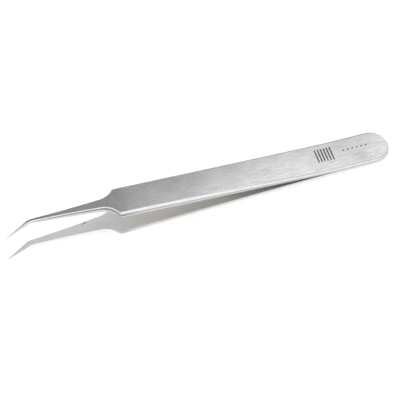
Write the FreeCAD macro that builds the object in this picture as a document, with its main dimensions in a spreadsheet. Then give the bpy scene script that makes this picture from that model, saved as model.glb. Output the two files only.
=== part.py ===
"""Bent fine tweezers: two ground steel arms welded face to face at the tail.

Each arm is one piece. It is modelled with the weld plane at height zero, the round tail end at the
origin and the tips towards -X, then laid down on its lower arm as it would come to rest.
All sizes are in millimetres and degrees. A station is a distance from the tail end along -X.
"""
import FreeCAD, Part

from dataclasses import dataclass
import math
import os

import Sketcher

Vector = FreeCAD.Vector

SIZES = {
    # Lengths along the arm
    "overall_length": 115.0,
    "weld_length": 12.5,
    "root_run": 13.5,
    "blade_reach": 32.6,
    "neck_run": 5.1,
    "waist_run": 12.6,
    "tip_reach": 7.4,
    "bend_run": 2.4,
    # Angles
    "opening_angle": 3.4,
    "bend_angle": 26.7,
    # Widths of the inner face
    "tail_width": 10.5,
    "shoulder_width": 9.4,
    "neck_width": 4.25,
    "waist_width": 2.9,
    "bend_width": 1.86,
    "tip_width": 0.2,
    # Thicknesses
    "tail_thickness": 0.9,
    "root_thickness": 0.95,
    "middle_thickness": 1.45,
    "shoulder_thickness": 1.62,
    "neck_thickness": 1.4,
    "waist_thickness": 1.12,
    "bend_thickness": 0.73,
    "tip_thickness": 0.16,
    # Lip along the inner face, and the flare that slopes in from it to the steep wall
    "lip_height": 0.1,
    "tip_lip_height": 0.04,
    "flare_angle": 39.0,
    "tail_flare": 0.04,
    "root_flare": 0.05,
    "middle_flare": 0.14,
    "shoulder_flare": 0.16,
    "neck_flare": 0.5,
    "waist_flare": 0.43,
    "bend_flare": 0.3,
    "tip_flare": 0.02,
    # Bevels between wall and outer face, as deep as they are wide
    "tail_bevel": 0.44,
    "root_bevel": 0.42,
    "middle_bevel": 0.68,
    "shoulder_bevel": 0.62,
    "neck_bevel": 0.24,
    "waist_bevel": 0.22,
    "bend_bevel": 0.17,
    "tip_bevel": 0.03,
    # How far the blade lies beside the handle's centre line, and how far the bent tip turns in
    "blade_offset": 0.35,
    "tip_turn_in": 0.55,
}

ROOT_STEPS = 4
SHOULDER_STEPS = 4
BEND_STEPS = 3

# Rough corners that each sketch starts from, before its dimensions pull them into place. The first
# list is the left half of a cross-section from the inner face up, the second one the tail's section
ROUGH_HALF = [(-4.0, 1.0), (-4.0, 1.5), (-3.5, 2.0), (-3.5, 3.0), (-3.0, 3.5)]
ROUGH_TAIL = [(-5.0, 0.0), (0.0, 0.0), (0.0, 0.1), (-0.1, 0.2), (-0.1, 0.5), (-0.5, 0.9), (-5.0, 0.9)]


def size(name):
    """Expression text that reads one driving size."""
    return f"sizes.{name}"


def between(start, end, share):
    """Expression for the value at a share of the way from start to end."""
    return f"({start} + ({end} - {start}) * {share})"


# Stations as expressions
ROUND_END = f"({size('tail_width')} / 2)"
WELD_END = size("weld_length")
ROOT_END = f"({WELD_END} + {size('root_run')})"
SHOULDER = f"({size('overall_length')} - {size('blade_reach')})"
MIDDLE = f"(({ROOT_END} + {SHOULDER}) / 2)"
NECK = f"({SHOULDER} + {size('neck_run')})"
WAIST = f"({SHOULDER} + {size('waist_run')})"
BEND = f"({size('overall_length')} - {size('tip_reach')})"
BEND_START = f"({BEND} - {size('bend_run')} / 2)"
TIP = size("overall_length")

# An arc that starts flat rises by its run times the tangent of half its turn
ROOT_RISE = f"({size('root_run')} * tan({size('opening_angle')} / 2))"


def inner_height(station):
    """Height of the inner face in front of the root, where it runs straight."""
    return f"({ROOT_RISE} + ({station} - {ROOT_END}) * tan({size('opening_angle')}))"


@dataclass
class Profile:
    """Sizes of a cross-section: inner face, and on each side a lip, a flare, a steep wall and a bevel."""

    half_width: str
    lip: str
    flare: str
    bevel: str
    thickness: str

    @property
    def flare_rise(self):
        """Height that the flare gains on its way in."""
        return f"({self.flare} * tan({size('flare_angle')}))"

    def towards(self, other, share):
        """Profile at a share of the way from this one to another."""
        return Profile(
            between(self.half_width, other.half_width, share),
            between(self.lip, other.lip, share),
            between(self.flare, other.flare, share),
            between(self.bevel, other.bevel, share),
            between(self.thickness, other.thickness, share),
        )


def profile_at(place, width, lip="lip_height"):
    """Cross-section of a named place along the arm."""
    return Profile(
        f"({width} / 2)",
        size(lip),
        size(place + "_flare"),
        size(place + "_bevel"),
        size(place + "_thickness"),
    )


def handle_width(station):
    """Width of the handle, which narrows straight from the end of the weld to the shoulder."""
    share = f"(({station} - {WELD_END}) / ({SHOULDER} - {WELD_END}))"
    return between(size("tail_width"), size("shoulder_width"), share)


TAIL_PROFILE = profile_at("tail", size("tail_width"))
ROOT_PROFILE = profile_at("root", handle_width(ROOT_END))
MIDDLE_PROFILE = profile_at("middle", handle_width(MIDDLE))
SHOULDER_PROFILE = profile_at("shoulder", size("shoulder_width"))
NECK_PROFILE = profile_at("neck", size("neck_width"))
WAIST_PROFILE = profile_at("waist", size("waist_width"))
BEND_PROFILE = profile_at("bend", size("bend_width"))
TIP_PROFILE = profile_at("tip", size("tip_width"), lip="tip_lip_height")


def fill_sheet(doc):
    """Write every driving size into an aliased cell of one spreadsheet."""
    sheet = doc.addObject("Spreadsheet::Sheet", "sizes")
    for row, (name, value) in enumerate(SIZES.items(), start=1):
        sheet.set(f"A{row}", name)
        sheet.set(f"B{row}", str(value))
        sheet.setAlias(f"B{row}", name)
    doc.recompute()


def origin_feature(body, role):
    """Plane or axis of the body's own origin."""
    return next(feature for feature in body.Origin.OriginFeatures if feature.Role == role)


def new_sketch(body, name, role):
    """Empty sketch on one of the body's origin planes."""
    sketch = body.newObject("Sketcher::SketchObject", name)
    sketch.AttachmentSupport = [(origin_feature(body, role), "")]
    sketch.MapMode = "FlatFace"
    return sketch


def draw_loop(sketch, points):
    """Closed loop of straight lines, joined end to start. Returns the lines' indices."""
    lines = []
    for start, end in zip(points, points[1:] + points[:1]):
        lines.append(sketch.addGeometry(Part.LineSegment(Vector(*start, 0), Vector(*end, 0))))
    for line, following in zip(lines, lines[1:] + lines[:1]):
        sketch.addConstraint(Sketcher.Constraint("Coincident", line, 2, following, 1))
    return lines


def dimension(sketch, name, kind, first, second, expression):
    """Named distance between two points, bound to an expression."""
    start = sketch.getPoint(*first)
    end = sketch.getPoint(*second)
    value = end.x - start.x if kind == "DistanceX" else end.y - start.y
    index = sketch.addConstraint(Sketcher.Constraint(kind, *first, *second, value))
    sketch.renameConstraint(index, name)
    sketch.setExpression(f"Constraints.{name}", expression)


def section_sketch(body, name, station, height, centre, profile):
    """Cross-section of the arm at a station, in a plane square to its length."""
    sketch = new_sketch(body, name, "YZ_Plane")
    sketch.setExpression("AttachmentOffset.Base.z", f"-({station})")
    right_half = [(-x, y) for x, y in reversed(ROUGH_HALF)]
    lines = draw_loop(sketch, ROUGH_HALF + right_half)
    left, outer, right, inner = lines[:4], lines[4], lines[5:9], lines[9]
    for line in (left[0], left[2], right[1], right[3]):
        sketch.addConstraint(Sketcher.Constraint("Vertical", line))
    for line in (outer, inner):
        sketch.addConstraint(Sketcher.Constraint("Horizontal", line))
    origin = (-1, 1)
    corner = (left[0], 1)
    dimension(sketch, "side", "DistanceX", corner, origin, f"{profile.half_width} - {centre}")
    dimension(sketch, "height", "DistanceY", origin, corner, height)
    dimension(sketch, "width", "DistanceX", corner, (inner, 1), f"2 * {profile.half_width}")
    dimension(sketch, "thickness", "DistanceY", corner, (outer, 1), profile.thickness)
    sides = (("left", left, 1, 2), ("right", right[::-1], 2, 1))
    for side, (lip, flare, wall, bevel), low, high in sides:
        first, second = (low, high) if side == "left" else (high, low)
        rise = profile.flare_rise
        dimension(sketch, f"{side}_lip", "DistanceY", (lip, low), (lip, high), profile.lip)
        dimension(sketch, f"{side}_flare_rise", "DistanceY", (flare, low), (flare, high), rise)
        dimension(sketch, f"{side}_flare", "DistanceX", (flare, first), (flare, second), profile.flare)
        dimension(sketch, f"{side}_bevel_depth", "DistanceY", (wall, high), (outer, 1), profile.bevel)
        dimension(sketch, f"{side}_bevel", "DistanceX", (bevel, first), (bevel, second), profile.bevel)
    return sketch


def add_loft(body, name, sections, ruled):
    """Solid stretch through section sketches, straight between them if ruled, else smooth."""
    loft = body.newObject("PartDesign::AdditiveLoft", name)
    loft.Profile = sections[0]
    loft.Sections = sections[1:]
    loft.Ruled = ruled
    return loft


def add_round_end(body):
    """Half disc of the tail, with its edge's flare, wall and bevel, turned about its centre."""
    sketch = new_sketch(body, "round_end_profile", "XZ_Plane")
    inner, lip, flare, wall, bevel, outer, axis = draw_loop(sketch, ROUGH_TAIL)
    for line in (lip, wall, axis):
        sketch.addConstraint(Sketcher.Constraint("Vertical", line))
    for line in (inner, outer):
        sketch.addConstraint(Sketcher.Constraint("Horizontal", line))
    sketch.addConstraint(Sketcher.Constraint("Coincident", lip, 1, -1, 1))
    dimension(sketch, "radius", "DistanceX", (inner, 1), (inner, 2), TAIL_PROFILE.half_width)
    dimension(sketch, "lip", "DistanceY", (lip, 1), (lip, 2), TAIL_PROFILE.lip)
    dimension(sketch, "flare", "DistanceX", (flare, 2), (flare, 1), TAIL_PROFILE.flare)
    dimension(sketch, "flare_rise", "DistanceY", (flare, 1), (flare, 2), TAIL_PROFILE.flare_rise)
    dimension(sketch, "bevel", "DistanceX", (bevel, 2), (bevel, 1), TAIL_PROFILE.bevel)
    dimension(sketch, "bevel_depth", "DistanceY", (bevel, 1), (bevel, 2), TAIL_PROFILE.bevel)
    dimension(sketch, "thickness", "DistanceY", (axis, 2), (axis, 1), TAIL_PROFILE.thickness)
    half_disc = body.newObject("PartDesign::Revolution", "round_end")
    half_disc.Profile = sketch
    half_disc.ReferenceAxis = (sketch, [f"Edge{axis + 1}"])
    half_disc.Angle = 180
    half_disc.Midplane = True
    return half_disc


def root_sections(body):
    """Sections of the root, where the arms bend apart from the weld plane."""
    outer_rise = f"({ROOT_RISE} + {size('root_thickness')} - {size('tail_thickness')})"
    sections = []
    for step in range(ROOT_STEPS + 1):
        share = step / ROOT_STEPS
        station = between(WELD_END, ROOT_END, share)
        height = f"({ROOT_RISE} * {share ** 2})"
        profile = TAIL_PROFILE.towards(ROOT_PROFILE, share)
        profile.thickness = f"({size('tail_thickness')} + {outer_rise} * {share ** 2} - {height})"
        sections.append(section_sketch(body, f"root_{step}", station, height, "0", profile))
    return sections


def shoulder_sections(body):
    """Sections of the shoulder, whose edges curve in on arcs while its thickness falls straight."""
    drop = f"({SHOULDER_PROFILE.half_width} - {NECK_PROFILE.half_width})"
    radius = f"(({size('neck_run')} ^ 2 + {drop} ^ 2) / (2 * {drop}))"
    sections = []
    for step in range(SHOULDER_STEPS + 1):
        share = step / SHOULDER_STEPS
        left = f"({size('neck_run')} * {1 - share})"
        ground = f"(1 - ({radius} - sqrt({radius} ^ 2 - {left} ^ 2)) / {drop})"
        station = between(SHOULDER, NECK, share)
        centre = f"({size('blade_offset')} * {ground})"
        profile = SHOULDER_PROFILE.towards(NECK_PROFILE, ground)
        profile.thickness = between(SHOULDER_PROFILE.thickness, NECK_PROFILE.thickness, share)
        height = inner_height(station)
        name = f"shoulder_{step}"
        sections.append(section_sketch(body, name, station, height, centre, profile))
    return sections


def bend_sections(body):
    """Sections of the bend, where the blade turns sideways on a short curve."""
    slope = f"tan({size('bend_angle')})"
    sections = []
    for step in range(BEND_STEPS + 1):
        share = step / BEND_STEPS
        station = f"({BEND_START} + {size('bend_run')} * {share})"
        aside = f"({slope} * {size('bend_run')} * {share ** 2 / 2})"
        centre = f"({size('blade_offset')} - {aside})"
        height = inner_height(BEND_START)
        name = f"bend_{step}"
        sections.append(section_sketch(body, name, station, height, centre, BEND_PROFILE))
    return sections


def build_arm(doc):
    """One whole arm, in the frame of the weld plane."""
    body = doc.addObject("PartDesign::Body", "arm_body")
    body.Label = "upper_arm"
    add_round_end(body)

    weld_start = section_sketch(body, "weld_start", ROUND_END, "0", "0", TAIL_PROFILE)
    root = root_sections(body)
    add_loft(body, "weld", [weld_start, root[0]], ruled=True)
    add_loft(body, "root", root, ruled=False)

    shoulder = shoulder_sections(body)
    middle = section_sketch(body, "middle", MIDDLE, inner_height(MIDDLE), "0", MIDDLE_PROFILE)
    add_loft(body, "handle", [root[-1], middle, shoulder[0]], ruled=False)
    add_loft(body, "shoulder", shoulder, ruled=False)

    offset = size("blade_offset")
    waist = section_sketch(body, "waist", WAIST, inner_height(WAIST), offset, WAIST_PROFILE)
    bend = bend_sections(body)
    add_loft(body, "blade", [shoulder[-1], waist, bend[0]], ruled=False)
    add_loft(body, "bend", bend, ruled=False)

    tip_centre = f"({offset} - tan({size('bend_angle')}) * {size('tip_reach')})"
    tip_height = f"({inner_height(TIP)} - {size('tip_turn_in')})"
    tip = section_sketch(body, "tip_end", TIP, tip_height, tip_centre, TIP_PROFILE)
    add_loft(body, "tip", [bend[-1], tip], ruled=True)
    doc.recompute()
    return body


def outer_height_at_shoulder():
    """Height of the outer face at the shoulder, where a laid-down arm touches."""
    opening = math.radians(SIZES["opening_angle"])
    rise = SIZES["root_run"] * math.tan(opening / 2)
    straight = SIZES["overall_length"] - SIZES["blade_reach"] - SIZES["weld_length"] - SIZES["root_run"]
    return rise + straight * math.tan(opening) + SIZES["shoulder_thickness"]


def rest_placement(arm_shape):
    """Placement that lays the pair on its lower arm, standing on height zero about the origin.

    The lower arm touches at the end of its tail and along the edge of its shoulder.
    """
    climb = outer_height_at_shoulder() - SIZES["tail_thickness"]
    tail_edge = SIZES["tail_flare"] + SIZES["tail_bevel"]
    reach = SIZES["overall_length"] - SIZES["blade_reach"] - tail_edge
    turn = FreeCAD.Rotation(Vector(0, 1, 0), math.degrees(math.atan2(climb, reach)))
    touching = turn.multVec(Vector(-tail_edge, 0, -SIZES["tail_thickness"]))

    below = arm_shape.mirror(Vector(0, 0, 0), Vector(0, 0, 1))
    pair = Part.makeCompound([arm_shape, below])
    pair.Placement = FreeCAD.Placement(Vector(0, 0, 0), turn)
    box = pair.BoundBox
    move = Vector(-(box.XMin + box.XMax) / 2, -(box.YMin + box.YMax) / 2, -touching.z)
    return FreeCAD.Placement(move, turn)


def mirror_arm(doc, body, placement):
    """The second arm, mirrored in the weld plane of the placed first one."""
    lower = doc.addObject("Part::Mirroring", "lower_arm_mirror")
    lower.Label = "lower_arm"
    lower.Source = body
    lower.Base = placement.multVec(Vector(0, 0, 0))
    lower.Normal = placement.Rotation.multVec(Vector(0, 0, 1))
    doc.recompute()
    return lower


def check_document(doc, parts):
    """Stop if any object failed, or a part has no valid single solid."""
    for obj in doc.Objects:
        if "Invalid" in obj.State or "Error" in obj.State:
            raise RuntimeError(f"{obj.Name} failed: {obj.State}")
    for part in parts:
        shape = part.Shape
        if shape.isNull() or not shape.isValid() or len(shape.Solids) != 1:
            raise RuntimeError(f"{part.Label} isn't one valid solid")


def main():
    """Build both arms and write each to its own file."""
    doc = FreeCAD.newDocument("bent_tweezers")
    fill_sheet(doc)
    upper = build_arm(doc)
    check_document(doc, [upper])
    upper.Placement = rest_placement(upper.Shape)
    doc.recompute()
    lower = mirror_arm(doc, upper, upper.Placement)
    check_document(doc, [upper, lower])

    os.makedirs("parts", exist_ok=True)
    for part in (upper, lower):
        part.Shape.exportStep(f"parts/{part.Label}.step")
        box = part.Shape.BoundBox
        print(f"{part.Label}: volume {part.Shape.Volume:.1f} mm3, low point {box.ZMin:.3f} mm")


main()
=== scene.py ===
"""Looks of the bent tweezers: two ground steel arms, welded together at the tail, on a pale table.

Each arm is one closed surface, worked out on a grid. Stations run along the arm from the tail end to
the tip, and at each station a loop of points runs round the cross-section. Lengths are in metres in
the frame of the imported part, where +X is the tail end, -X the tips and +Z up. Angles are in degrees.
"""
import logging
import math
from collections.abc import Callable
from dataclasses import dataclass, replace
from enum import Enum

import bmesh
import bpy
import numpy as np
from mathutils import Matrix, Quaternion, Vector


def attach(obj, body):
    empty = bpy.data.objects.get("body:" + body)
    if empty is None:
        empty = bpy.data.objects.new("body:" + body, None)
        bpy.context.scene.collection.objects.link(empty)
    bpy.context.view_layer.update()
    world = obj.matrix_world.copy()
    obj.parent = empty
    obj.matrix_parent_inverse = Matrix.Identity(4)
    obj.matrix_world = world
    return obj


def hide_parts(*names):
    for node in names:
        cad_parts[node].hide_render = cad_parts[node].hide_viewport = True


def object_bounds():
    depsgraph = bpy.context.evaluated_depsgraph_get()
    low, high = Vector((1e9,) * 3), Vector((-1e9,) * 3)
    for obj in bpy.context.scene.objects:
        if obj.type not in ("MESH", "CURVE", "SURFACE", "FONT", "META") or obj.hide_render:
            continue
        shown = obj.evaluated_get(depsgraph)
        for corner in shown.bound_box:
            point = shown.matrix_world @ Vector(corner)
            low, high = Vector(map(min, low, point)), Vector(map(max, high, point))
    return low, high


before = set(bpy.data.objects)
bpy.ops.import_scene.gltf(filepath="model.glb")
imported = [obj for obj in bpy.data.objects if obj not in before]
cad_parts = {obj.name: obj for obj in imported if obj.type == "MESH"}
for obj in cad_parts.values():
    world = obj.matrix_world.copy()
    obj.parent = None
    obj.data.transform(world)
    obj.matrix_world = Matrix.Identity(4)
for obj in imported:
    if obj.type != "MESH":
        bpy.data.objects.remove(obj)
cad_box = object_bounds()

LOG = logging.getLogger("tweezers")
BODY = "root"
GRAIN_MAP = "grain"
QUARTER_TURN = 0.25
MERGE_REACH = 1e-8
SHORTEST_EDGE = 1e-9
LIGHT_BOUNCES = 16
MIRROR_BOUNCES = 5

Colour = tuple[float, float, float]
Place = tuple[float, float, float]
Socket = bpy.types.NodeSocket


class Region(Enum):
    """Bands of an arm's surface, each with a finish of its own. The value is its material's index."""

    INNER_FACE = 0
    FLARE = 1
    EDGE = 2
    BEVEL = 3
    OUTER_FACE = 4


class Side(Enum):
    """One of the two arms. The value is the way its outer face points from the weld plane."""

    UPPER = 1
    LOWER = -1


@dataclass(frozen=True)
class ArmSizes:
    """Driving sizes of one arm, the same for both.

    The corner run is the last stretch of the handle, which has closer stations.
    """

    overall_length: float = 0.115
    weld_length: float = 0.0125
    root_run: float = 0.0135
    blade_reach: float = 0.0326
    neck_run: float = 0.0051
    waist_run: float = 0.0126
    tip_reach: float = 0.0074
    bend_run: float = 0.0024
    opening_angle: float = 3.4
    bend_angle: float = 26.7
    blade_offset: float = 0.00035
    tip_turn_in: float = 0.00055
    tip_rounding: float = 0.00008
    corner_run: float = 0.0006

    @property
    def weld_end(self) -> float:
        """Station where the arms start to bend apart."""
        return self.weld_length

    @property
    def root_end(self) -> float:
        """Station where the arms run straight."""
        return self.weld_length + self.root_run

    @property
    def middle(self) -> float:
        """Station halfway along the straight handle."""
        return (self.root_end + self.shoulder) / 2

    @property
    def shoulder(self) -> float:
        """Station where the handle ends."""
        return self.overall_length - self.blade_reach

    @property
    def neck(self) -> float:
        """Station where the blade starts."""
        return self.shoulder + self.neck_run

    @property
    def waist(self) -> float:
        """Station of the blade's middle section."""
        return self.shoulder + self.waist_run

    @property
    def bend(self) -> float:
        """Station of the middle of the sideways bend."""
        return self.overall_length - self.tip_reach

    @property
    def bend_start(self) -> float:
        """Station where the sideways bend starts."""
        return self.bend - self.bend_run / 2

    @property
    def bend_end(self) -> float:
        """Station where the sideways bend ends."""
        return self.bend + self.bend_run / 2

    @property
    def root_rise(self) -> float:
        """Height that the inner face gains along the root."""
        return self.root_run * math.tan(math.radians(self.opening_angle / 2))


@dataclass(frozen=True)
class Taper:
    """A size of the cross-section at eight named places along the arm."""

    tail: float
    root: float
    middle: float
    shoulder: float
    neck: float
    waist: float
    bend: float
    tip: float


@dataclass(frozen=True)
class SectionSizes:
    """Sizes of the cross-section, each with its values along the arm.

    From the inner face outwards a side has a broken edge, a lip, a flare, a steep wall and a bevel.
    The lip's height is counted from the inner face. The crown is how much the outer face's middle
    stands above its edges. The two last sizes are how far each way the faces and the edges are
    averaged, which eases their changes of slope.
    """

    half_width: Taper = Taper(0.00525, 0.00518, 0.00504, 0.00484, 0.00201, 0.00144, 0.00082, 0.0001)
    thickness: Taper = Taper(0.0009, 0.00095, 0.00145, 0.00162, 0.0014, 0.00112, 0.00073, 0.00016)
    bevel: Taper = Taper(0.00044, 0.00042, 0.00068, 0.00062, 0.00024, 0.00022, 0.00023, 0.00004)
    flare: Taper = Taper(0.00004, 0.00005, 0.00014, 0.00016, 0.0005, 0.00043, 0.0003, 0.00002)
    flare_angle: float = 39.0
    break_run: Taper = Taper(0.00004, 0.00007, 0.00033, 0.00034, 0.00008, 0.00006, 0.00004, 0.00001)
    break_height: Taper = Taper(0.00003, 0.00004, 0.00012, 0.00013, 0.00004, 0.00004, 0.00003, 0.00001)
    lip_height: Taper = Taper(0.0001, 0.0001, 0.00017, 0.00018, 0.0001, 0.0001, 0.0001, 0.00004)
    crown: Taper = Taper(0.00006, 0.00008, 0.00007, 0.00005, 0.00002, 0.00001, 0.00001, 0.0)
    inner_rounding: Taper = Taper(
        0.00003, 0.00005, 0.00005, 0.00005, 0.00005, 0.00005, 0.00004, 0.00002
    )
    flare_rounding: Taper = Taper(
        0.00005, 0.00005, 0.00006, 0.00006, 0.00008, 0.00008, 0.00006, 0.00002
    )
    ridge_rounding: Taper = Taper(0.00014, 0.0002, 0.0003, 0.0003, 0.00006, 0.00005, 0.00004, 0.00001)
    face_rounding: Taper = Taper(0.0003, 0.00035, 0.0002, 0.0001, 0.00006, 0.00005, 0.00004, 0.00001)
    face_ease: Taper = Taper(0.0, 0.004, 0.005, 0.005, 0.004, 0.002, 0.0008, 0.0)
    edge_ease: Taper = Taper(0.0, 0.0003, 0.0003, 0.0003, 0.0003, 0.0003, 0.0003, 0.0)

    @property
    def tail_edge(self) -> float:
        """Distance from the tail's end to the edge of its outer face."""
        return self.flare.tail + self.bevel.tail


@dataclass(frozen=True)
class GridCounts:
    """Density of an arm's grid.

    From round_end to tip_end they are stations along the arm. From corner to outer_face they are
    columns round its section, for each rounded corner and for each face. The last, ease, is over how
    many steps a size is averaged.
    """

    round_end: int = 48
    weld: int = 8
    root: int = 16
    handle: int = 48
    corner_run: int = 8
    shoulder: int = 36
    blade: int = 48
    bend: int = 16
    tip: int = 20
    tip_end: int = 5
    corner: int = 6
    inner_face: int = 18
    outer_face: int = 36
    ease: int = 24


def parabola(
    s: np.ndarray, places: tuple[float, float, float], values: tuple[float, float, float]
) -> np.ndarray:
    """Parabola that has the given values at three places.

    Each value is multiplied by the distances to the two other places, over what they are at its own.

    Args:
        s: Where the parabola is wanted.
        places: The three places.
        values: Its values there.

    Returns:
        Its value at each s.
    """
    a, b, c = places
    return (
        values[0] * (s - b) * (s - c) / ((a - b) * (a - c))
        + values[1] * (s - a) * (s - c) / ((b - a) * (b - c))
        + values[2] * (s - a) * (s - b) / ((c - a) * (c - b))
    )


class ArmSurface:
    """Closed surface of one arm, worked out as whole arrays over stations and columns.

    A side has six corners, counted from 0 at the inner face, and a region starts in the middle of
    some of them.
    """

    SIDE_CORNERS = 6
    REGION_CORNERS = {Region.EDGE: 3, Region.BEVEL: 4, Region.OUTER_FACE: 5}
    LARGEST_CUT = 0.48

    def __init__(self, sizes: ArmSizes, section: SectionSizes, counts: GridCounts) -> None:
        """Place the stations.

        Args:
            sizes: Driving sizes of the arm.
            section: Sizes of its cross-section.
            counts: Density of the grid.
        """
        self.sizes = sizes
        self.section = section
        self.counts = counts
        self.base, self.lean, self.spread, self.shrink = self._stations()

    def _stations(self) -> tuple[np.ndarray, np.ndarray, np.ndarray, np.ndarray]:
        """Work out where each station lies and how its section stands.

        Round the tail end the sections stand on spokes of a half disc: a point at distance d from
        the centre line lies at the disc's centre minus d times the cosine of the spoke's angle, and
        d times its sine to the side. At the tip the section shrinks by the cosine of an angle while
        it moves on by its sine, which rounds the point off.

        Returns:
            Station of each section's base, cosine and sine of its spoke, and its share of full size.
        """
        sizes, counts = self.sizes, self.counts
        radius = self.section.half_width.tail
        spoke = np.radians(np.linspace(0.0, 90.0, counts.round_end, endpoint=False))
        stops = (
            (radius, sizes.weld_end, counts.weld),
            (sizes.weld_end, sizes.root_end, counts.root),
            (sizes.root_end, sizes.shoulder - sizes.corner_run, counts.handle),
            (sizes.shoulder - sizes.corner_run, sizes.shoulder, counts.corner_run),
            (sizes.shoulder, sizes.neck, counts.shoulder),
            (sizes.neck, sizes.bend_start, counts.blade),
            (sizes.bend_start, sizes.bend_end, counts.bend),
            (sizes.bend_end, sizes.overall_length - sizes.tip_rounding, counts.tip),
        )
        straight = np.concatenate([np.linspace(a, b, n, endpoint=False) for a, b, n in stops])
        closing = np.radians(np.linspace(0.0, 90.0, counts.tip_end))
        point = sizes.overall_length - sizes.tip_rounding * (1.0 - np.sin(closing))
        base = np.concatenate([np.full(len(spoke), radius), straight, point])
        lean = np.concatenate([np.cos(spoke), np.zeros(len(straight) + len(point))])
        spread = np.concatenate([np.sin(spoke), np.ones(len(straight) + len(point))])
        shrink = np.concatenate([np.ones(len(spoke) + len(straight)), np.cos(closing)])
        return base, lean, spread, shrink

    def _ground_share(self, s: np.ndarray) -> np.ndarray:
        """Share of the shoulder's drop that is ground away at each station.

        The edge follows a circle that ends along the blade. With the run left to the blade's start
        as chord, the circle's depth is its radius minus the root of radius squared minus run squared.

        Args:
            s: The stations.

        Returns:
            A share from 0 at the shoulder to 1 at the blade's start.
        """
        drop = self.section.half_width.shoulder - self.section.half_width.neck
        run = self.sizes.neck_run
        radius = (run**2 + drop**2) / (2 * drop)
        left = np.clip(self.sizes.neck - s, 0.0, run)
        return 1.0 - (radius - np.sqrt(radius**2 - left**2)) / drop

    def along(self, taper: Taper, s: np.ndarray, shoulder_share: np.ndarray) -> np.ndarray:
        """A tapering size at any stations.

        It is straight on the root, a parabola on the handle, follows a given share on the shoulder,
        a parabola on the blade, stays the same in the bend and is straight to the tip.

        Args:
            taper: The size's values at the named places.
            s: The stations.
            shoulder_share: Share of the way from shoulder to neck at each station.

        Returns:
            One value for each station.
        """
        sizes = self.sizes
        root = np.interp(s, (sizes.weld_end, sizes.root_end), (taper.tail, taper.root))
        handle_places = (sizes.root_end, sizes.middle, sizes.shoulder)
        handle = parabola(s, handle_places, (taper.root, taper.middle, taper.shoulder))
        shoulder = taper.shoulder + (taper.neck - taper.shoulder) * shoulder_share
        blade_places = (sizes.neck, sizes.waist, sizes.bend_start)
        blade = parabola(s, blade_places, (taper.neck, taper.waist, taper.bend))
        end = np.interp(s, (sizes.bend_end, sizes.overall_length), (taper.bend, taper.tip))
        stretches = (s < sizes.root_end, s < sizes.shoulder, s < sizes.neck, s < sizes.bend_start)
        return np.select(stretches, (root, handle, shoulder, blade), end)

    def size_at(self, taper: Taper) -> np.ndarray:
        """A size of the sides at every station. It follows the ground circle on the shoulder."""
        return self.along(taper, self.base, self._ground_share(self.base))

    def _eased(self, values: Callable[[np.ndarray], np.ndarray], ease: Taper) -> np.ndarray:
        """Mean of a function of the station over a short reach each way of every station.

        Args:
            values: The function.
            ease: How far each way it is averaged, at the named places.

        Returns:
            One value for each station.
        """
        reach = self.along(ease, self.base, self._shoulder_run(self.base))
        step_middles = (np.arange(self.counts.ease) + 0.5) / self.counts.ease * 2.0 - 1.0
        return values(self.base[:, None] + reach[:, None] * step_middles).mean(axis=1)

    def _shoulder_run(self, s: np.ndarray) -> np.ndarray:
        """Share of the run from shoulder to neck that lies behind each station."""
        return np.clip((s - self.sizes.shoulder) / self.sizes.neck_run, 0.0, 1.0)

    def inner_height(self) -> np.ndarray:
        """Height of the inner face above the weld plane at every station.

        It rises as a parabola along the root, straight at the opening angle in front of it, stays
        level through the bend and runs straight to the tip, which is turned in.
        """
        return self._eased(self._inner_height_at, self.section.face_ease)

    def _inner_height_at(self, s: np.ndarray) -> np.ndarray:
        """Height of the inner face, before its changes of slope are eased.

        Args:
            s: The stations.

        Returns:
            Its height above the weld plane at each.
        """
        sizes = self.sizes
        slope = math.tan(math.radians(sizes.opening_angle))
        share = np.clip((s - sizes.weld_end) / sizes.root_run, 0.0, 1.0)
        straight = sizes.root_rise * share**2 + slope * np.clip(s - sizes.root_end, 0.0, None)
        level = sizes.root_rise + slope * (sizes.bend_start - sizes.root_end)
        tip = sizes.root_rise + slope * (sizes.overall_length - sizes.root_end) - sizes.tip_turn_in
        end = np.interp(s, (sizes.bend_end, sizes.overall_length), (level, tip))
        return np.where(s < sizes.bend_start, straight, end)

    def thickness(self) -> np.ndarray:
        """Thickness at every station."""
        return self._eased(self._thickness_at, self.section.face_ease)

    def _thickness_at(self, s: np.ndarray) -> np.ndarray:
        """Thickness before it is eased. Along the root the outer face is a parabola too.

        Args:
            s: The stations.

        Returns:
            The thickness at each.
        """
        sizes, taper = self.sizes, self.section.thickness
        share = np.clip((s - sizes.weld_end) / sizes.root_run, 0.0, 1.0)
        root = taper.tail + (taper.root - taper.tail) * share**2
        return np.where(s < sizes.root_end, root, self.along(taper, s, self._shoulder_run(s)))

    def half_width(self) -> np.ndarray:
        """Half of the inner face's width at every station."""
        return self._eased(self._half_width_at, self.section.edge_ease)

    def _half_width_at(self, s: np.ndarray) -> np.ndarray:
        """Half of the inner face's width at any stations, before the shoulder's corner is eased."""
        return self.along(self.section.half_width, s, self._ground_share(s))

    def centre(self) -> np.ndarray:
        """How far each section's centre lies to the side of the handle's centre line."""
        return self._eased(self._centre_at, self.section.edge_ease)

    def _centre_at(self, s: np.ndarray) -> np.ndarray:
        """Place of the centre before it is eased.

        It follows the ground circle on the shoulder, a parabola in the bend and a line to the tip.

        Args:
            s: The stations.

        Returns:
            How far the centre lies to the side at each.
        """
        sizes = self.sizes
        slope = math.tan(math.radians(sizes.bend_angle))
        share = np.clip((s - sizes.bend_start) / sizes.bend_run, 0.0, 1.0)
        aside = slope * (sizes.bend_run * share**2 / 2 + np.clip(s - sizes.bend_end, 0.0, None))
        ground = np.where(s < sizes.shoulder, 0.0, self._ground_share(s))
        return sizes.blade_offset * ground - aside

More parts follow.
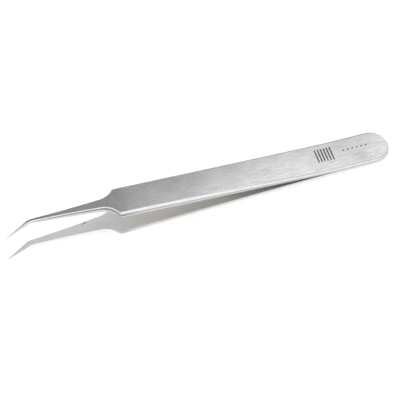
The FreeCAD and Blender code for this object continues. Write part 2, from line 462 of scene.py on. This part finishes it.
    def _corners(self) -> tuple[np.ndarray, np.ndarray]:
        """Corners of one side of every section.

        Returns:
            Places of the corners as (inset from the edge, height), with the middles of the two faces
            before the first and after the last, and how far each corner is cut back.
        """
        section = self.section
        half = self.half_width()
        thickness = self.thickness() - self.size_at(section.crown)
        bevel = self.size_at(section.bevel)
        flare = self.size_at(section.flare)
        zero = np.zeros_like(half)
        lip = self.size_at(section.lip_height)
        flare_top = lip + flare * math.tan(math.radians(section.flare_angle))
        corners = (
            (half, zero),
            (self.size_at(section.break_run), zero),
            (zero, self.size_at(section.break_height)),
            (zero, lip),
            (flare, flare_top),
            (flare, thickness - bevel),
            (flare + bevel, thickness),
            (half, thickness),
        )
        inner_rounding = self.size_at(section.inner_rounding)
        flare_rounding = self.size_at(section.flare_rounding)
        cuts = (
            inner_rounding,
            inner_rounding,
            flare_rounding,
            flare_rounding,
            self.size_at(section.ridge_rounding),
            self.size_at(section.face_rounding),
        )
        points = np.stack([np.stack(pair, axis=-1) for pair in corners], axis=1)
        return points, np.stack(cuts, axis=1)

    def side_profile(self) -> np.ndarray:
        """One side of every section with rounded corners, as (inset, height).

        Each corner is replaced by the parabola from a point before it to a point after it, with the
        corner as its control point. As w runs from 0 to 1 it is (1-w)^2 times the first point, plus
        2w(1-w) times the corner, plus w^2 times the second point. Both points lie at the cut-back
        distance, but within half of the shorter leg, so that two roundings on a leg never meet.

        Returns:
            Points as (station, point, inset and height).
        """
        points, cuts = self._corners()
        before, corner, after = points[:, :-2], points[:, 1:-1], points[:, 2:]
        to_before, to_after = before - corner, after - corner
        length_before = np.linalg.norm(to_before, axis=-1)
        length_after = np.linalg.norm(to_after, axis=-1)
        cut = np.minimum(cuts, self.LARGEST_CUT * np.minimum(length_before, length_after))
        start = corner + to_before * (cut / length_before)[..., None]
        end = corner + to_after * (cut / length_after)[..., None]
        w = np.linspace(0.0, 1.0, self.counts.corner)[:, None]
        start, corner, end = start[:, :, None], corner[:, :, None], end[:, :, None]
        curve = (1 - w) ** 2 * start + 2 * w * (1 - w) * corner + w**2 * end
        return curve.reshape(len(self.base), -1, 2)

    def grid(self) -> tuple[np.ndarray, np.ndarray]:
        """Points of the whole arm in the frame of the weld plane, and the region of each column.

        A column has a share from -1 to 1 across the section. On the sides the share stays at one
        end while the distance from the centre line changes, and on the faces it runs from side to
        side. The outer face is crowned: towards its edges it drops by the crown times the share
        squared. Round the tail end the crown is multiplied by the square of the spoke's sine, which
        makes a dome.

        Returns:
            Points as (station, column, xyz), and one Region value for each column.
        """
        counts = self.counts
        side = self.side_profile()
        half = self.half_width()[:, None]
        spread = self.spread[:, None]
        reach_side, height_side = half - side[:, :, 0], side[:, :, 1]

        across = np.sin(np.radians(np.linspace(-90.0, 90.0, counts.inner_face + 2)[1:-1]))
        across_outer = np.sin(np.radians(np.linspace(90.0, -90.0, counts.outer_face + 2)[1:-1]))
        inner = np.ones_like(across)
        outer = np.ones_like(across_outer)
        sides = np.ones(side.shape[1])
        share = np.concatenate([across, sides, across_outer, -sides])
        reach = self._loop(reach_side[:, :1] * inner, reach_side, reach_side[:, -1:] * outer)
        crown = self.size_at(self.section.crown)[:, None] * spread**2 * (1.0 - across_outer**2)
        height = self._loop(height_side[:, :1] * inner, height_side, height_side[:, -1:] + crown)

        middle = self.thickness()[:, None] / 2
        shrink = self.shrink[:, None]
        reach = reach * shrink
        height = middle + (height - middle) * shrink
        x = -(self.base[:, None] - reach * self.lean[:, None])
        y = self.centre()[:, None] + share * reach * spread
        z = self.inner_height()[:, None] + height
        return np.stack([x, y, z], axis=-1), self._column_regions()

    @staticmethod
    def _loop(inner: np.ndarray, side: np.ndarray, outer: np.ndarray) -> np.ndarray:
        """Values round every section: inner face, one side, outer face and the other side."""
        return np.concatenate([inner, side, outer, side[:, ::-1]], axis=1)

    def _column_regions(self) -> np.ndarray:
        """Region of the strip after each column.

        Returns:
            One Region value for each column, in the order of the grid.
        """
        counts = self.counts
        side = np.full(self.SIDE_CORNERS * counts.corner, Region.FLARE.value)
        for region, corner in self.REGION_CORNERS.items():
            side[corner * counts.corner + counts.corner // 2 :] = region.value
        inner = np.full(counts.inner_face, Region.INNER_FACE.value)
        outer = np.full(counts.outer_face, Region.OUTER_FACE.value)
        mirrored = np.roll(side[::-1], -1)
        mirrored[-1] = Region.INNER_FACE.value
        return np.concatenate([inner, side, outer, mirrored])

    def rest_turn(self) -> Matrix:
        """Turn about Y that lays the pair on the end of its tail and its shoulder.

        Returns:
            A turn by the angle at which the outer face climbs from the tail's edge to the shoulder.
        """
        sizes, thickness = self.sizes, self.section.thickness
        slope = math.tan(math.radians(sizes.opening_angle))
        rise = sizes.root_rise + slope * (sizes.shoulder - sizes.root_end)
        climb = rise + thickness.shoulder - thickness.tail
        return Matrix.Rotation(math.atan2(climb, sizes.shoulder - self.section.tail_edge), 4, "Y")

    def rest_place(self) -> Matrix:
        """Matrix that lays an arm on the table where the CAD arm lies.

        Returns:
            A turn about Y, then the move that stands the edge below the tail end on the table and
            brings the top of the tail's lip onto the end of the CAD box.
        """
        section = self.section
        turn = self.rest_turn()
        touching = turn @ Vector((-section.tail_edge, 0.0, -section.thickness.tail))
        tail_end = turn @ Vector((0.0, 0.0, section.lip_height.tail))
        return Matrix.Translation((cad_box[1][0] - tail_end.x, 0.0, -touching.z)) @ turn


class Arm:
    """One arm of the tweezers as a finished piece."""

    def __init__(self, side: Side, surface: ArmSurface, finishes: dict[Region, "Finish"]) -> None:
        """Keep what the arm is made from.

        Args:
            side: Which arm this is.
            surface: The surface that both arms share.
            finishes: The finish of each region.
        """
        self.side = side
        self.surface = surface
        self.finishes = finishes
        self.node = f"{side.name.lower()}_arm"

    def build(self) -> bpy.types.Object:
        """Make the arm's mesh, lay it where the CAD arm lies and dress it.

        Returns:
            The finished object, which rides on the body and stands for the CAD node.
        """
        points, columns = self.surface.grid()
        points = points * np.array((1.0, 1.0, self.side.value))
        mesh = self._mesh(points, columns)
        self._unwrap(mesh)
        mesh.transform(self.surface.rest_place())
        for region in Region:
            name = f"{self.node}_{region.name.lower()}"
            mesh.materials.append(self.finishes[region].material(name))
        arm = bpy.data.objects.new(f"{self.node}_steel", mesh)
        bpy.context.scene.collection.objects.link(arm)
        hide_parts(self.node)
        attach(arm, BODY)
        LOG.info("%s: %d faces", arm.name, len(mesh.polygons))
        return arm

    def _mesh(self, points: np.ndarray, columns: np.ndarray) -> bpy.types.Mesh:
        """Mesh of four-sided faces on the grid, closed round the section, with its seams merged.

        Args:
            points: Grid of points as (station, column, xyz).
            columns: Region of the strip after each column.

        Returns:
            A closed mesh whose faces point outwards.
        """
        rows, width = points.shape[:2]
        first = np.arange(rows * width).reshape(rows, width)
        following = np.roll(first, -1, axis=1)
        quads = np.stack([first[:-1], following[:-1], following[1:], first[1:]], axis=-1)
        mesh = bpy.data.meshes.new(f"{self.node}_steel")
        mesh.from_pydata(points.reshape(-1, 3), [], quads.reshape(-1, 4))
        mesh.polygons.foreach_set("material_index", np.tile(columns, rows - 1).astype(np.int32))
        edit = bmesh.new()
        edit.from_mesh(mesh)
        bmesh.ops.remove_doubles(edit, verts=edit.verts, dist=MERGE_REACH)
        bmesh.ops.dissolve_degenerate(edit, edges=edit.edges, dist=SHORTEST_EDGE)
        bmesh.ops.recalc_face_normals(edit, faces=edit.faces)
        edit.to_mesh(mesh)
        edit.free()
        mesh.polygons.foreach_set("use_smooth", np.ones(len(mesh.polygons), dtype=bool))
        mesh.update()
        return mesh

    def _unwrap(self, mesh: bpy.types.Mesh) -> None:
        """Give the mesh a map in metres that runs along the arm and across it.

        The first number is the distance from the tail end along the arm. The second is the distance
        to the side of the handle's centre line. On the sides the height is taken from it, so that it
        also changes down an edge.

        Args:
            mesh: The arm in the frame of the weld plane.
        """
        position = np.empty(len(mesh.vertices) * 3, np.float32)
        mesh.vertices.foreach_get("co", position)
        position = position.reshape(-1, 3)
        corner_vertex = np.empty(len(mesh.loops), np.int32)
        mesh.loops.foreach_get("vertex_index", corner_vertex)
        region = np.empty(len(mesh.polygons), np.int32)
        mesh.polygons.foreach_get("material_index", region)
        corners = np.empty(len(mesh.polygons), np.int32)
        mesh.polygons.foreach_get("loop_total", corners)
        sides = (Region.FLARE.value, Region.EDGE.value, Region.BEVEL.value)
        upright = np.isin(np.repeat(region, corners), sides)
        x, y, z = position[corner_vertex].T
        across = y - np.where(upright, np.abs(z), 0.0)
        layer = mesh.uv_layers.new(name=GRAIN_MAP)
        layer.data.foreach_set("uv", np.stack([-x, across], axis=-1).astype(np.float32).ravel())


class Nodes:
    """Short way to write a node tree."""

    def __init__(self, tree: bpy.types.NodeTree) -> None:
        """Start from an empty tree."""
        self.tree = tree
        tree.nodes.clear()

    def add(
        self, kind: str, inputs: dict[int | str, object] | None = None, **settings: object
    ) -> bpy.types.Node:
        """Add a node.

        Args:
            kind: Type of the node without its ShaderNode prefix.
            inputs: Values for sockets, or other nodes' output sockets to link them to.
            settings: Values of the node's own properties.

        Returns:
            The new node.
        """
        node = self.tree.nodes.new("ShaderNode" + kind)
        for name, value in settings.items():
            setattr(node, name, value)
        for name, value in (inputs or {}).items():
            self._give(node.inputs[name], value)
        return node

    def _give(self, socket: Socket, value: object) -> None:
        """Link an output socket to an input, or set the input to a plain value."""
        if isinstance(value, Socket):
            self.tree.links.new(value, socket)
        else:
            socket.default_value = value

    def number(self, operation: str, first: object, second: object = 0.0) -> Socket:
        """Result of a Math node with one or two operands."""
        node = self.tree.nodes.new("ShaderNodeMath")
        node.operation = operation
        for socket, value in zip(node.inputs, (first, second)):
            self._give(socket, value)
        return node.outputs[0]

    def length(self, u: Socket, v: Socket) -> Socket:
        """Root of the sum of two numbers' squares."""
        squares = self.number("ADD", self.number("MULTIPLY", u, u), self.number("MULTIPLY", v, v))
        return self.number("SQRT", squares)

    def between(self, value: Socket, start: float, end: float, low: float, high: float) -> Socket:
        """Carry a value smoothly from one range to another. Outside the range it is held.

        Args:
            value: The value.
            start: Start of its range.
            end: End of its range.
            low: Result at the start.
            high: Result at the end.

        Returns:
            The result.
        """
        node = self.add(
            "MapRange",
            {"Value": value, "From Min": start, "From Max": end, "To Min": low, "To Max": high},
            interpolation_type="SMOOTHSTEP",
        )
        return node.outputs["Result"]

    def fade(self, distance: Socket, edge: float, softness: float, darkness: float) -> Socket:
        """Darkness that holds up to an edge and fades to nothing over a softness each way of it."""
        return self.between(distance, edge - softness, edge + softness, darkness, 0.0)


@dataclass(frozen=True)
class Spot:
    """A round mark or a soft patch at a place of the grain map."""

    along: float
    across: float
    radius: float
    softness: float
    strength: float

    def darkness(self, nodes: Nodes, along: Socket, across: Socket) -> Socket:
        """The spot's darkness: full inside its radius, and fading out over its softness."""
        u = nodes.number("SUBTRACT", along, self.along)
        v = nodes.number("SUBTRACT", across, self.across)
        rim = self.radius + self.softness
        return nodes.between(nodes.length(u, v), self.radius, rim, self.strength, 0.0)


@dataclass(frozen=True)
class GripLines:
    """Plain etched lines across the handle, with a row of etched dots behind them."""

    start: float = 0.0172
    line_pitch: float = 0.00092
    line_width: float = 0.00042
    line_count: int = 6
    line_darkness: float = 0.85
    half_length: float = 0.0023
    across: float = 0.0008
    dot_start: float = 0.0066
    dot_pitch: float = 0.0014
    dot_radius: float = 0.0003
    dot_count: int = 6
    dot_darkness: float = 0.7
    softness: float = 0.00005

    def darkness(self, nodes: Nodes, along: Socket, across: Socket) -> Socket:
        """Darkness of the lines or the dots at each place of the grain map."""
        aside = nodes.number("SUBTRACT", across, self.across)
        return nodes.number(
            "MAXIMUM", self._lines(nodes, along, aside), self._dots(nodes, along, aside)
        )

    def _lines(self, nodes: Nodes, along: Socket, aside: Socket) -> Socket:
        """Darkness of the lines, up to half a line's width from the middle of the nearest line.

        Args:
            nodes: The material's nodes.
            along: Distance from the tail end.
            aside: Distance to the side of the lines' middle.

        Returns:
            The darkness from 0 to 1.
        """
        shifted = nodes.number("SUBTRACT", along, self.start)
        folded = nodes.number("PINGPONG", shifted, self.line_pitch / 2)
        line = nodes.fade(folded, self.line_width / 2, self.softness, self.line_darkness)
        inside = self._among(nodes, shifted, self.line_pitch, self.line_count)
        ends = nodes.fade(nodes.number("ABSOLUTE", aside), self.half_length, self.softness, 1.0)
        return nodes.number("MULTIPLY", nodes.number("MULTIPLY", line, inside), ends)

    def _dots(self, nodes: Nodes, along: Socket, aside: Socket) -> Socket:
        """Darkness of the dots, up to a dot's radius from the middle of the nearest dot.

        Args:
            nodes: The material's nodes.
            along: Distance from the tail end.
            aside: Distance to the side of the row of dots.

        Returns:
            The darkness from 0 to 1.
        """
        shifted = nodes.number("SUBTRACT", along, self.dot_start)
        folded = nodes.number("PINGPONG", shifted, self.dot_pitch / 2)
        distance = nodes.length(folded, aside)
        dot = nodes.fade(distance, self.dot_radius, self.softness, self.dot_darkness)
        inside = self._among(nodes, shifted, self.dot_pitch, self.dot_count)
        return nodes.number("MULTIPLY", dot, inside)

    @staticmethod
    def _among(nodes: Nodes, shifted: Socket, pitch: float, count: int) -> Socket:
        """Test for the stretch of a row, which reaches half a pitch beyond its end marks.

        Args:
            nodes: The material's nodes.
            shifted: Distance from the middle of the row's first mark.
            pitch: Distance from one mark to the next.
            count: How many marks the row has.

        Returns:
            1 inside the stretch, else 0.
        """
        return nodes.number(
            "MULTIPLY",
            nodes.number("GREATER_THAN", shifted, -pitch / 2),
            nodes.number("LESS_THAN", shifted, (count - 0.5) * pitch),
        )


@dataclass(frozen=True)
class Finish:
    """A ground steel surface with streaks along the arm and slow mottling.

    The steel's colour follows two noise patterns on the grain map: streaks many times longer than
    wide, and mottling a few millimetres across. Roughness and height follow the streaks alone. In
    front of the handle the colour is multiplied by a factor of painted shade, and from the sideways
    bend on by a factor of painted light or shade as well: above 1 it paints light, below 1 shade.
    """

    colour: Colour
    roughness: float
    anisotropy: float = 0.0
    noise_roughness: float = 0.6
    streak_length: float = 0.006
    streak_width: float = 0.0003
    streak_detail: float = 3.0
    streak_range: tuple[float, float] = (0.25, 0.75)
    streak_shade: float = 0.05
    streak_roughness: float = 0.04
    streak_height: float = 0.0000008
    mottle_length: float = 0.005
    mottle_width: float = 0.0025
    mottle_detail: float = 2.0
    mottle_range: tuple[float, float] = (0.3, 0.7)
    mottle_shade: float = 0.05
    front_painted_shade: float = 1.0
    handle_end: float = 0.077
    blade_start: float = 0.082
    tip_painted_shade_and_light: float = 1.0
    bend_start: float = 0.1
    bend_end: float = 0.1085
    marks: tuple[Spot | GripLines, ...] = ()
    mark_shade: float = 0.09

    def material(self, name: str) -> bpy.types.Material:
        """Make the material.

        Args:
            name: Its name.

        Returns:
            A metallic material built from noise on the grain map.
        """
        material = bpy.data.materials.new(name)
        material.use_nodes = True
        nodes = Nodes(material.node_tree)
        grain = nodes.add("UVMap", uv_map=GRAIN_MAP).outputs["UV"]
        streak = self._noise(nodes, grain, self.streak_length, self.streak_width, self.streak_detail)
        mottle = self._noise(nodes, grain, self.mottle_length, self.mottle_width, self.mottle_detail)
        shade = self._shade(nodes, grain, streak, mottle)
        colour = nodes.add("VectorMath", {0: self.colour, "Scale": shade}, operation="SCALE")
        rough = self.roughness + self.streak_roughness
        smooth = self.roughness - self.streak_roughness
        bump = nodes.add("Bump", {"Height": streak, "Distance": self.streak_height, "Strength": 1.0})
        steel = nodes.add(
            "BsdfPrincipled",
            {
                "Base Color": colour.outputs["Vector"],
                "Metallic": 1.0,
                "Roughness": nodes.between(streak, *self.streak_range, rough, smooth),
                "Normal": bump.outputs["Normal"],
            },
        )
        if self.anisotropy:
            steel.inputs["Anisotropic"].default_value = self.anisotropy
            steel.inputs["Anisotropic Rotation"].default_value = QUARTER_TURN
            tangent = nodes.add("Tangent", direction_type="UV_MAP", uv_map=GRAIN_MAP)
            nodes.tree.links.new(tangent.outputs["Tangent"], steel.inputs["Tangent"])
        nodes.add("OutputMaterial", {"Surface": steel.outputs["BSDF"]})
        return material

    def _noise(self, nodes: Nodes, grain: Socket, length: float, width: float, detail: float) -> Socket:
        """Noise on the grain map, stretched to a length along the arm and a width across it.

        Args:
            nodes: The material's nodes.
            grain: The grain map.
            length: Length of a blot of the noise.
            width: Width of a blot.
            detail: How many finer layers of noise are added.

        Returns:
            The noise, from 0 to 1.
        """
        stretch = nodes.add("Mapping", {"Vector": grain, "Scale": (1.0 / length, 1.0 / width, 1.0)})
        settings = {"Scale": 1.0, "Detail": detail, "Roughness": self.noise_roughness}
        noise = nodes.add(
            "TexNoise", {"Vector": stretch.outputs["Vector"], **settings}, noise_dimensions="2D"
        )
        return noise.outputs["Fac"]

    def _shade(self, nodes: Nodes, grain: Socket, streak: Socket, mottle: Socket) -> Socket:
        """Work out what the colour is multiplied by at each place of the grain map.

        Args:
            nodes: The material's nodes.
            grain: The grain map.
            streak: Noise of the streaks.
            mottle: Noise of the mottling.

        Returns:
            The factor, from the noise, the painted light and shade along the arm, and the marks, which
            may include painted shade.
        """
        ground = nodes.number(
            "ADD",
            nodes.between(streak, *self.streak_range, 1.0 - self.streak_shade, 1.0),
            nodes.between(mottle, *self.mottle_range, -self.mottle_shade, 0.0),
        )
        parts = nodes.add("SeparateXYZ", {"Vector": grain})
        along, across = parts.outputs["X"], parts.outputs["Y"]
        # Painted shade in front of the handle, and painted light or shade from the sideways bend on.
        front = nodes.between(along, self.handle_end, self.blade_start, 1.0, self.front_painted_shade)
        tip = nodes.between(along, self.bend_start, self.bend_end, 1.0, self.tip_painted_shade_and_light)
        front = nodes.number("MULTIPLY", front, tip)
        dark = nodes.number("MULTIPLY", along, 0.0)
        for mark in self.marks:
            dark = nodes.number("MAXIMUM", dark, mark.darkness(nodes, along, across))
        marked = nodes.between(dark, 0.0, 1.0, 1.0, self.mark_shade)
        return nodes.number("MULTIPLY", ground, nodes.number("MULTIPLY", front, marked))


@dataclass(frozen=True)
class Softbox:
    """A rectangular studio lamp that points at a place on the object."""

    name: str
    place: Place
    aim: Place
    width: float
    depth: float
    radiance: float

    def build(self) -> None:
        """Make the lamp. Its power is radiance times area times pi."""
        lamp = bpy.data.lights.new(self.name, "AREA")
        lamp.shape = "RECTANGLE"
        lamp.size = self.width
        lamp.size_y = self.depth
        lamp.energy = self.radiance * self.width * self.depth * math.pi
        holder = bpy.data.objects.new(self.name, lamp)
        holder.location = self.place
        away = Vector(self.place) - Vector(self.aim)
        holder.rotation_euler = away.to_track_quat("Z", "Y").to_euler()
        bpy.context.scene.collection.objects.link(holder)


def direction(azimuth: float, elevation: float) -> Vector:
    """Unit vector from the object: azimuth 0 towards the front (-Y), 90 towards the tail (+X)."""
    a, e = math.radians(azimuth), math.radians(elevation)
    return Vector((math.sin(a) * math.cos(e), -math.cos(a) * math.cos(e), math.sin(e)))


@dataclass(frozen=True)
class Studio:
    """Light tent round the object, with a grey flag behind it, a pale table and lamps.

    The flag is an oval among the directions of the sky, with a middle and a reach along each axis.
    Its core, a share of its reach, has the flag's level, and from there to its rim the light rises
    to the tent's. The horizon is grey as well: the light rises from the horizon's level to full
    between two heights, which are those of a direction of length 1.
    """

    table_side: float = 4.0
    table_colour: Colour = (0.89, 0.88, 0.855)
    table_glow: float = 0.36
    tent_colour: Colour = (0.955, 0.97, 1.0)
    tent_level: float = 1.0
    flag_middle: Place = (0.38, 0.6, 0.75)
    flag_reach: Place = (0.38, 0.9, 0.9)
    flag_core: float = 0.65
    flag_level: float = 0.31
    horizon_low: float = 0.04
    horizon_high: float = 0.34
    horizon_level: float = 0.45
    lamps: tuple[Softbox, ...] = (
        Softbox(
            "tail_lamp",
            place=(0.25, 0.215, 0.3),
            aim=(0.035, 0.0, 0.0),
            width=0.13,
            depth=0.4,
            radiance=1.17,
        ),
        Softbox(
            "front_lamp",
            place=(0.12, -0.58, 0.38),
            aim=(0.0, 0.0, 0.0),
            width=0.5,
            depth=0.35,
            radiance=0.24,
        ),
    )

    def build(self) -> None:
        """Make the table, the tent and the lamps."""
        self._table()
        self._tent()
        for lamp in self.lamps:
            lamp.build()
        LOG.info("studio: %d lamps", len(self.lamps))

    def _table(self) -> None:
        """A level table top at height zero, a little brighter to the camera and in reflections."""
        half = self.table_side / 2
        mesh = bpy.data.meshes.new("table")
        corners = [(-half, -half, 0), (half, -half, 0), (half, half, 0), (-half, half, 0)]
        mesh.from_pydata(corners, [], [(0, 1, 2, 3)])
        table = bpy.data.objects.new("table", mesh)
        bpy.context.scene.collection.objects.link(table)
        material = bpy.data.materials.new("table_top")
        material.use_nodes = True
        nodes = Nodes(material.node_tree)
        matt = nodes.add("BsdfDiffuse", {"Color": (*self.table_colour, 1.0)})
        path = nodes.add("LightPath")
        seen = nodes.number("MAXIMUM", path.outputs["Is Camera Ray"], path.outputs["Is Glossy Ray"])
        seen = nodes.number("MAXIMUM", seen, path.outputs["Is Transmission Ray"])
        glow = nodes.add("Emission", {"Strength": nodes.number("MULTIPLY", seen, self.table_glow)})
        both = nodes.add("AddShader", {0: matt.outputs["BSDF"], 1: glow.outputs["Emission"]})
        nodes.add("OutputMaterial", {"Surface": both.outputs["Shader"]})
        mesh.materials.append(material)

    def _tent(self) -> None:
        """Light from above, which falls off to grey at the flag and at the horizon.

        A direction's offset from the flag's middle is divided by its reach along each axis, and the
        length of the result is 1 at its rim.
        """
        world = bpy.data.worlds.new("light_tent")
        bpy.context.scene.world = world
        world.use_nodes = True
        nodes = Nodes(world.node_tree)
        towards = nodes.add("TexCoord").outputs["Generated"]
        aside = nodes.add("VectorMath", {0: towards, 1: self.flag_middle}, operation="SUBTRACT")
        offset = aside.outputs["Vector"]
        scaled = nodes.add("VectorMath", {0: offset, 1: self.flag_reach}, operation="DIVIDE")
        away = nodes.add("VectorMath", {0: scaled.outputs["Vector"]}, operation="LENGTH")
        share = away.outputs["Value"]
        level = nodes.between(share, self.flag_core, 1.0, self.flag_level, self.tent_level)
        height = nodes.add("SeparateXYZ", {"Vector": towards}).outputs["Z"]
        horizon = nodes.between(height, self.horizon_low, self.horizon_high, self.horizon_level, 1.0)
        level = nodes.number("MULTIPLY", level, horizon)
        light = nodes.add("Background", {"Color": (*self.tent_colour, 1.0), "Strength": level})
        nodes.add("OutputWorld", {"Surface": light.outputs["Background"]})


@dataclass(frozen=True)
class Viewpoint:
    """The camera, which looks down on the near side and the tips.

    Lens and sensor are in millimetres. It sees what is between its nearest and its furthest, which
    are multiples of its distance from the aim.
    """

    azimuth: float = -17.05
    elevation: float = 56.09
    roll: float = -1.63
    distance: float = 0.5433
    aim: Place = (-0.00008, -0.00053, 0.0)
    lens: float = 171.0
    sensor: float = 36.0
    nearest: float = 0.1
    furthest: float = 100.0

    def build(self) -> None:
        """Make the camera and give it to the scene."""
        data = bpy.data.cameras.new("camera")
        data.lens = self.lens
        data.sensor_width = self.sensor
        data.clip_start = self.distance * self.nearest
        data.clip_end = self.distance * self.furthest
        camera = bpy.data.objects.new("camera", data)
        away = direction(self.azimuth, self.elevation)
        camera.location = Vector(self.aim) + away * self.distance
        camera.rotation_mode = "QUATERNION"
        level = (-away).to_track_quat("-Z", "Y")
        camera.rotation_quaternion = level @ Quaternion((0, 0, 1), math.radians(self.roll))
        bpy.context.scene.collection.objects.link(camera)
        bpy.context.scene.camera = camera
        LOG.info("camera: %.0f mm lens", self.lens)


@dataclass(frozen=True)
class Tweezers:
    """The pair of arms."""

    sizes: ArmSizes = ArmSizes()
    section: SectionSizes = SectionSizes()
    counts: GridCounts = GridCounts()
    brushed: Finish = Finish(
        colour=(0.8, 0.786, 0.792),
        roughness=0.26,
        anisotropy=0.88,
        streak_length=0.004,
        streak_width=0.0002,
        streak_shade=0.13,
        mottle_shade=0.075,
        # Painted shade: the outer face darker beyond the sideways bend, where it reflects less light.
        tip_painted_shade_and_light=0.6,
    )
    polished: Finish = Finish(
        colour=(0.79, 0.785, 0.775),
        roughness=0.25,
        streak_shade=0.03,
        mottle_shade=0.03,
        # Painted highlight: the bevel lighter beyond the sideways bend.
        tip_painted_shade_and_light=1.15,
    )
    flared: Finish = Finish(
        colour=(0.8, 0.79, 0.78),
        roughness=0.3,
        streak_shade=0.03,
        mottle_shade=0.03,
        # Painted shade on the blade, and a painted highlight beyond the sideways bend.
        front_painted_shade=0.84,
        tip_painted_shade_and_light=1.27,
        bend_start=0.104,
    )
    satin: Finish = Finish(
        colour=(0.805, 0.786, 0.766), roughness=0.5, streak_shade=0.03, mottle_shade=0.05
    )
    # Painted shade: a darker copy of the wall's steel standing for the shaded table the wall reflects,
    # darker still on the blade, and lighter beyond the bend by painted light.
    upper_wall_painted_shade: Finish = Finish(
        colour=(0.48, 0.47, 0.46), roughness=0.35, front_painted_shade=0.55, tip_painted_shade_and_light=1.6, bend_start=0.106
    )
    # Painted light and shade: a lighter copy of the wall's steel than the upper arm's, darker on the
    # blade by painted shade.
    lower_wall: Finish = Finish(colour=(0.69, 0.68, 0.67), roughness=0.35, front_painted_shade=0.64)
    specks: tuple[Spot, ...] = (
        Spot(along=0.09122, across=0.00169, radius=0.00016, softness=0.0002, strength=0.95),
        Spot(along=0.09182, across=0.00136, radius=0.00015, softness=0.0004, strength=0.35),
    )
    # A soft darker patch on the handle's outer face.
    darker_patch: Spot = Spot(along=0.0625, across=0.0, radius=0.002, softness=0.008, strength=0.19)
    tail_patch: Spot = Spot(
        along=0.0092, across=-0.0025, radius=0.0008, softness=0.0032, strength=0.23
    )
    # Painted shade: darkens the lower arm's inner face in the gap between the arms near the weld, where
    # the upper arm shades it.
    gap_painted_shade: Spot = Spot(along=0.036, across=-0.002, radius=0.006, softness=0.013, strength=0.28)

    def build(self) -> list[bpy.types.Object]:
        """Make both arms, with the surface, flare and bevel in common.

        The upper one has soft darker patches and the etching, the lower one specks and painted shade
        in the gap near the weld.

        Returns:
            The upper and the lower arm.
        """
        surface = ArmSurface(self.sizes, self.section, self.counts)
        common = {Region.FLARE: self.flared, Region.BEVEL: self.polished}
        upper = {
            Region.INNER_FACE: self.satin,
            Region.EDGE: self.upper_wall_painted_shade,
            Region.OUTER_FACE: replace(
                self.brushed, marks=(self.darker_patch, self.tail_patch, GripLines())
            ),
        }
        lower = {
            Region.INNER_FACE: replace(self.satin, marks=(*self.specks, self.gap_painted_shade)),
            Region.EDGE: self.lower_wall,
            Region.OUTER_FACE: self.brushed,
        }
        return [
            Arm(Side.UPPER, surface, common | upper).build(),
            Arm(Side.LOWER, surface, common | lower).build(),
        ]


def set_render() -> None:
    """Plain colour handling, and enough mirror bounces for the narrow gap between the arms."""
    scene = bpy.context.scene
    scene.view_settings.view_transform = "Standard"
    scene.cycles.max_bounces = LIGHT_BOUNCES
    scene.cycles.glossy_bounces = MIRROR_BOUNCES
    scene.cycles.use_denoising = True


def main() -> None:
    """Build the tweezers, the studio and the camera."""
    logging.basicConfig(level=logging.INFO, format="%(name)s %(message)s")
    arms = Tweezers().build()
    LOG.info("arms: %d", len(arms))
    Studio().build()
    Viewpoint().build()
    set_render()


if __name__ == "__main__":
    main()
